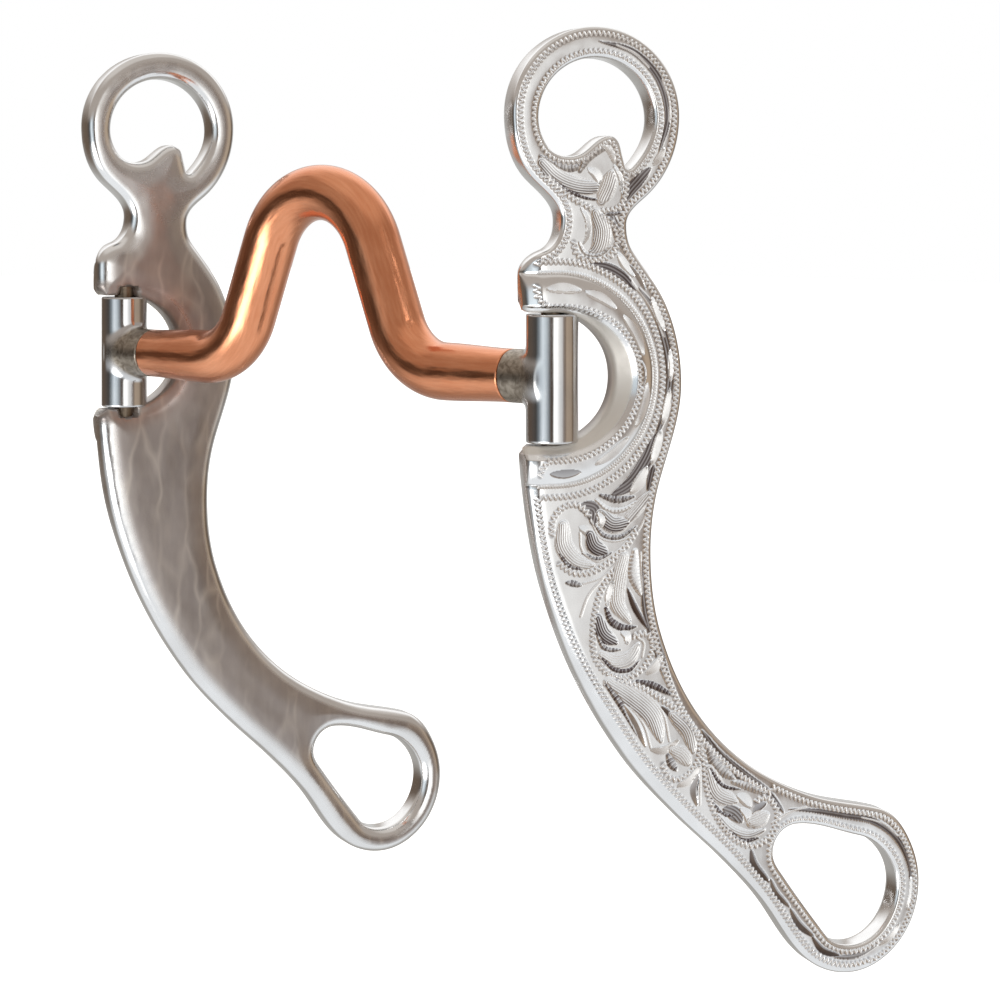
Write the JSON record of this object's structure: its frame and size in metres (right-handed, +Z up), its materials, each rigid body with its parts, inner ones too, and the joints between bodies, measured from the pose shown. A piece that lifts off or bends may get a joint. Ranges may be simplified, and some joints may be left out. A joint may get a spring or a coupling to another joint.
{
  "type": "curb bit",
  "caption": "Loose-jaw western curb bit: copper high-port mouthpiece between two swept-back engraved cheeks that swing on upright pins, with headstall rings and rein loops.",
  "frame": {"origin": "centre of the bit's bounding box with both cheeks at rest", "axes": "+Z up along the hinge pins, +Y along the mouthpiece from the near cheek to the off cheek, +X backwards, the way the shanks sweep"},
  "size_m": [0.093, 0.194, 0.2108],
  "materials": {
    "cheek_aluminium": "polished casting, hand-engraved outer face",
    "barrel_steel": "polished, brushed in the fillets",
    "pin_steel": "plain turned",
    "core_steel": "plain drawn rod",
    "sleeve_copper": "polished copper"
  },
  "bodies": {
    "mouthpiece": {"near_t_end": "barrel_steel", "off_t_end": "barrel_steel", "mouthpiece_core": "core_steel", "copper_sleeve": "sleeve_copper"},
    "near_side": {"near_cheek": "cheek_aluminium", "near_hinge_pin": "pin_steel"},
    "off_side": {"off_cheek": "cheek_aluminium", "off_hinge_pin": "pin_steel"}
  },
  "joints": [
    {"name": "near_cheek_swing", "type": "hinge", "parent": "mouthpiece", "child": "near_side", "pos_m": [-0.03587, -0.05039, 0.02955], "axis": [0, 0, 1], "range_deg": [-60, 75]},
    {"name": "off_cheek_swing", "type": "hinge", "parent": "mouthpiece", "child": "off_side", "pos_m": [-0.03587, 0.08931, 0.02955], "axis": [0, 0, 1], "range_deg": [-23, 112]}
  ]
}
